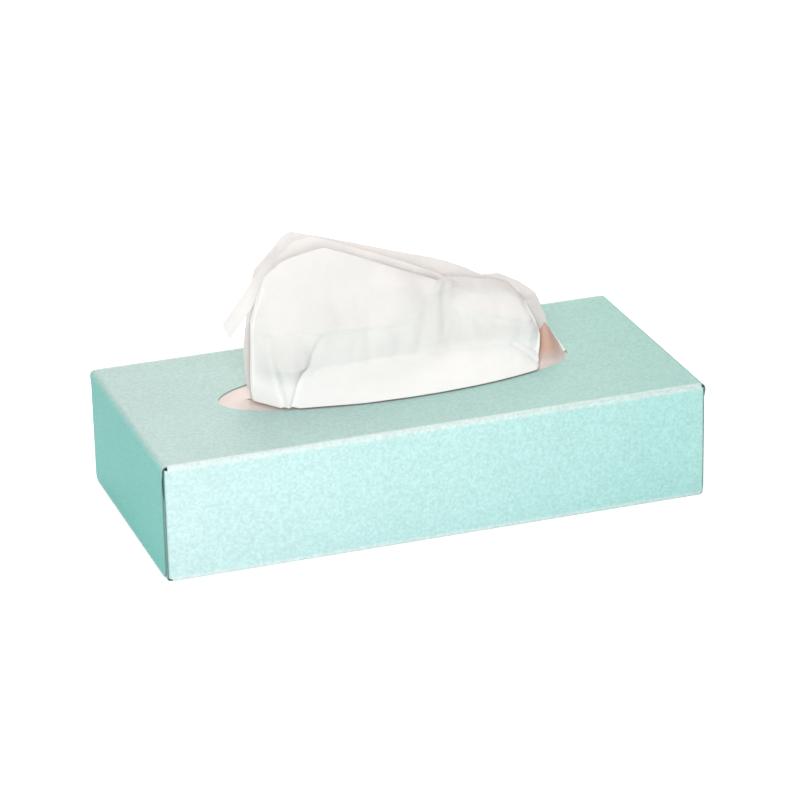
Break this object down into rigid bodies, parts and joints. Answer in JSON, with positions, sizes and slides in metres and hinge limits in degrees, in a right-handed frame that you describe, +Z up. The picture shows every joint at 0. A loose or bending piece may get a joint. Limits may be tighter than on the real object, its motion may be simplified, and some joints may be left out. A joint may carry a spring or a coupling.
{
  "type": "tissue box",
  "caption": "Flat paperboard box that holds interfolded facial tissues and hands them out one at a time through a slit film window in an oval opening on top.",
  "frame": {"origin": "middle of the carton's base, on the surface that the box stands on", "axes": "+X along the long side to the right, +Y from the front panel to the back panel, +Z up out of the opening"},
  "size_m": [0.238, 0.114, 0.121],
  "materials": {
    "mint_board": "mint print with a fine stipple under a satin aqueous varnish, raw grey board at cut edges and inside",
    "window_film": "thin clear polyethylene film, soft gloss",
    "folded_tissue": "soft white creped tissue paper",
    "raised_tissue": "soft white creped tissue paper, lets light through"
  },
  "bodies": {
    "root": {"carton": "mint_board", "film_window": "window_film", "tissue_stack": "folded_tissue", "pop_up_tissue": "raised_tissue"}
  },
  "joints": []
}
